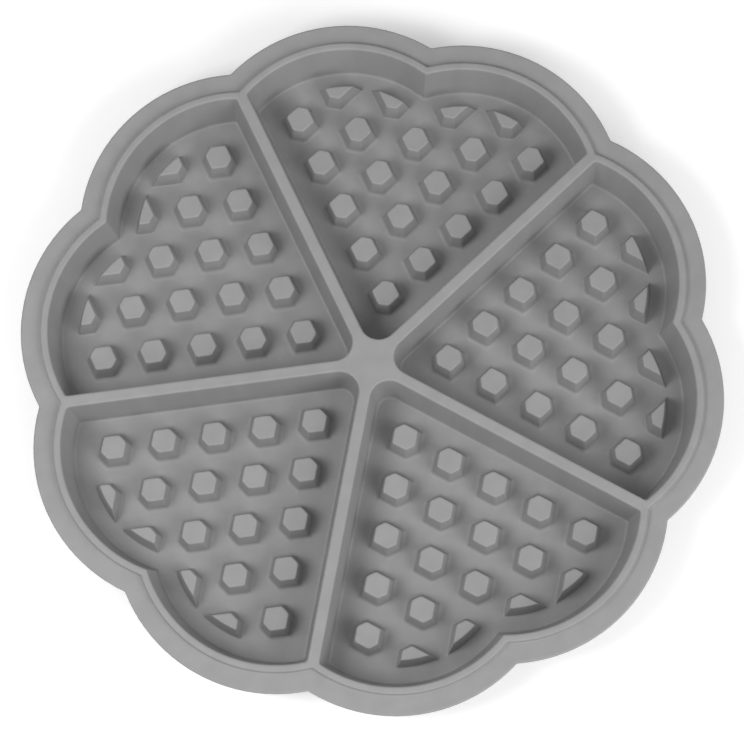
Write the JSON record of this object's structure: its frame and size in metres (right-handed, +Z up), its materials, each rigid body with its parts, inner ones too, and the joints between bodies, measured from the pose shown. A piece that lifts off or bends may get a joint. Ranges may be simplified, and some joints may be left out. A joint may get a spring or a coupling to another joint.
{
  "type": "silicone waffle mould",
  "caption": "Grey silicone waffle mould with heart-shaped cavities around a hub, peg patterns on their floors and a scalloped flange.",
  "frame": {"origin": "on the table plane, under the middle of the hub", "axes": "+Z up out of the cavities, +Y through the middle of heart 1, +X to the right of it"},
  "size_m": [0.2236, 0.2176, 0.0187],
  "materials": {
    "silicone": "matte"
  },
  "bodies": {
    "root": {"divider_star": "silicone", "edge_pegs_1": "silicone", "edge_pegs_2": "silicone", "edge_pegs_3": "silicone", "edge_pegs_4": "silicone", "edge_pegs_5": "silicone", "full_pegs_1": "silicone", "full_pegs_2": "silicone", "full_pegs_3": "silicone", "full_pegs_4": "silicone", "full_pegs_5": "silicone", "heart_floor_1": "silicone", "heart_floor_2": "silicone", "heart_floor_3": "silicone", "heart_floor_4": "silicone", "heart_floor_5": "silicone", "heart_lip_1": "silicone", "heart_lip_2": "silicone", "heart_lip_3": "silicone", "heart_lip_4": "silicone", "heart_lip_5": "silicone", "heart_wall_1": "silicone", "heart_wall_2": "silicone", "heart_wall_3": "silicone", "heart_wall_4": "silicone", "heart_wall_5": "silicone", "rim_flange": "silicone"}
  },
  "joints": []
}
